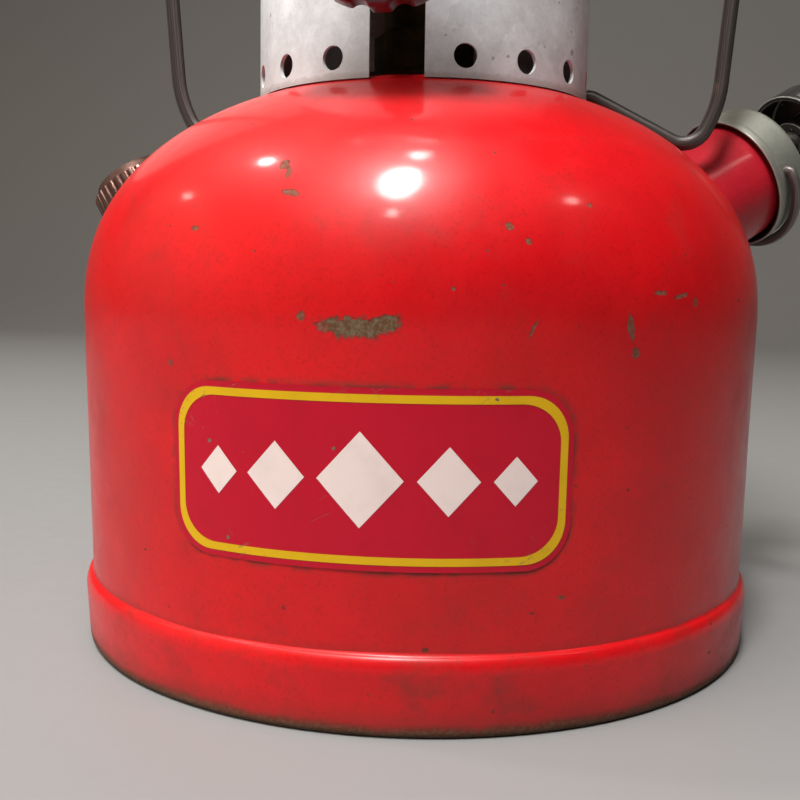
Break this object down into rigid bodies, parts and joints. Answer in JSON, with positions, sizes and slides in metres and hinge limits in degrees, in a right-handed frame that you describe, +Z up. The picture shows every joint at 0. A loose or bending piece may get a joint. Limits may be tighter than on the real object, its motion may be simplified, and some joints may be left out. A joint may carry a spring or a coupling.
{
  "type": "gas lantern",
  "caption": "Tabletop gas lantern with a red pressed fount, hand pump, filler cap, vented collar, valve wheel, mantle burner in a glass globe, ventilator and swinging wire bail.",
  "frame": {"origin": "centre of the base ring, on the surface that the lantern stands on", "axes": "+Z up along the lantern axis, -Y to the front where the valve wheel is, +X to the right"},
  "size_m": [0.188, 0.1506, 0.3418],
  "materials": {
    "red_enamel": "gloss",
    "crimson_enamel": "gloss",
    "maroon_enamel": "satin",
    "brass": "satin",
    "rubber": "matte",
    "nickel": "satin",
    "zinc": "satin",
    "wire_steel": "satin",
    "leather": "matte",
    "galvanised": "satin",
    "ceramic_tip": "matte",
    "mantle_cloth": "matte",
    "clear_glass": "polished"
  },
  "bodies": {
    "root": {"fount_shell": "red_enamel", "fount_bottom": "red_enamel", "valve_boss": "brass", "filler_neck": "brass", "pump_tube": "crimson_enamel", "pump_cap": "zinc", "pump_clip": "wire_steel", "check_valve": "brass", "valve_body": "brass", "pickup_tube": "brass", "packing_nut": "brass", "cleaning_rod": "brass", "generator": "brass", "generator_nut": "brass", "collar": "galvanised", "globe_rest": "galvanised", "burner_frame": "galvanised", "air_tube": "galvanised", "burner_manifold": "galvanised", "burner_cap": "ceramic_tip", "mantle": "mantle_cloth", "globe": "clear_glass", "ventilator_base": "galvanised", "ventilator_hood": "red_enamel", "ball_nut": "nickel"},
    "valve": {"valve_stem": "brass", "valve_wheel": "maroon_enamel", "wheel_screw": "nickel"},
    "pump_slider": {"pump_leather": "leather", "leather_retainer": "wire_steel"},
    "plunger": {"plunger_rod": "nickel", "pump_knob": "zinc"},
    "air_stem": {"air_stem": "brass"},
    "filler_screw": {"filler_gasket": "rubber"},
    "filler_cap": {"filler_cap": "nickel"},
    "bail": {"bail": "wire_steel"}
  },
  "joints": [
    {"name": "valve_turn", "type": "hinge", "parent": "root", "child": "valve", "pos_m": [0, -0.05, 0.145], "axis": [0, -1, 0], "range_deg": [0, 540]},
    {"name": "pump_stroke", "type": "slide", "parent": "root", "child": "pump_slider", "axis": [0.7162, 0.53, 0.454], "range_m": [0, 0.09]},
    {"name": "knob_turn", "type": "hinge", "parent": "pump_slider", "child": "plunger", "pos_m": [0.06299, 0.02194, 0.09766], "axis": [0.7162, 0.53, 0.454], "range_deg": [0, 360]},
    {"name": "air_stem_turn", "type": "hinge", "parent": "root", "child": "air_stem", "pos_m": [0.06299, 0.02194, 0.09766], "axis": [0.7162, 0.53, 0.454], "range_deg": [0, 360]},
    {"name": "filler_lift", "type": "slide", "parent": "root", "child": "filler_screw", "axis": [-0.521, 0.0966, 0.848], "range_m": [0, 0.0045]},
    {"name": "filler_turn", "type": "hinge", "parent": "filler_screw", "child": "filler_cap", "pos_m": [-0.06883, 0.01276, 0.0926], "axis": [-0.521, 0.0966, 0.848], "range_deg": [0, 1080]},
    {"name": "bail_swing", "type": "hinge", "parent": "root", "child": "bail", "pos_m": [0, 0.0048, 0.12032], "axis": [1, 0, 0], "range_deg": [-70, 110]}
  ],
  "couplings": [
    {"joint": "air_stem_turn", "follows": "knob_turn", "ratio": 1},
    {"joint": "filler_lift", "follows": "filler_turn", "m_per_rad": 0.00023873}
  ]
}
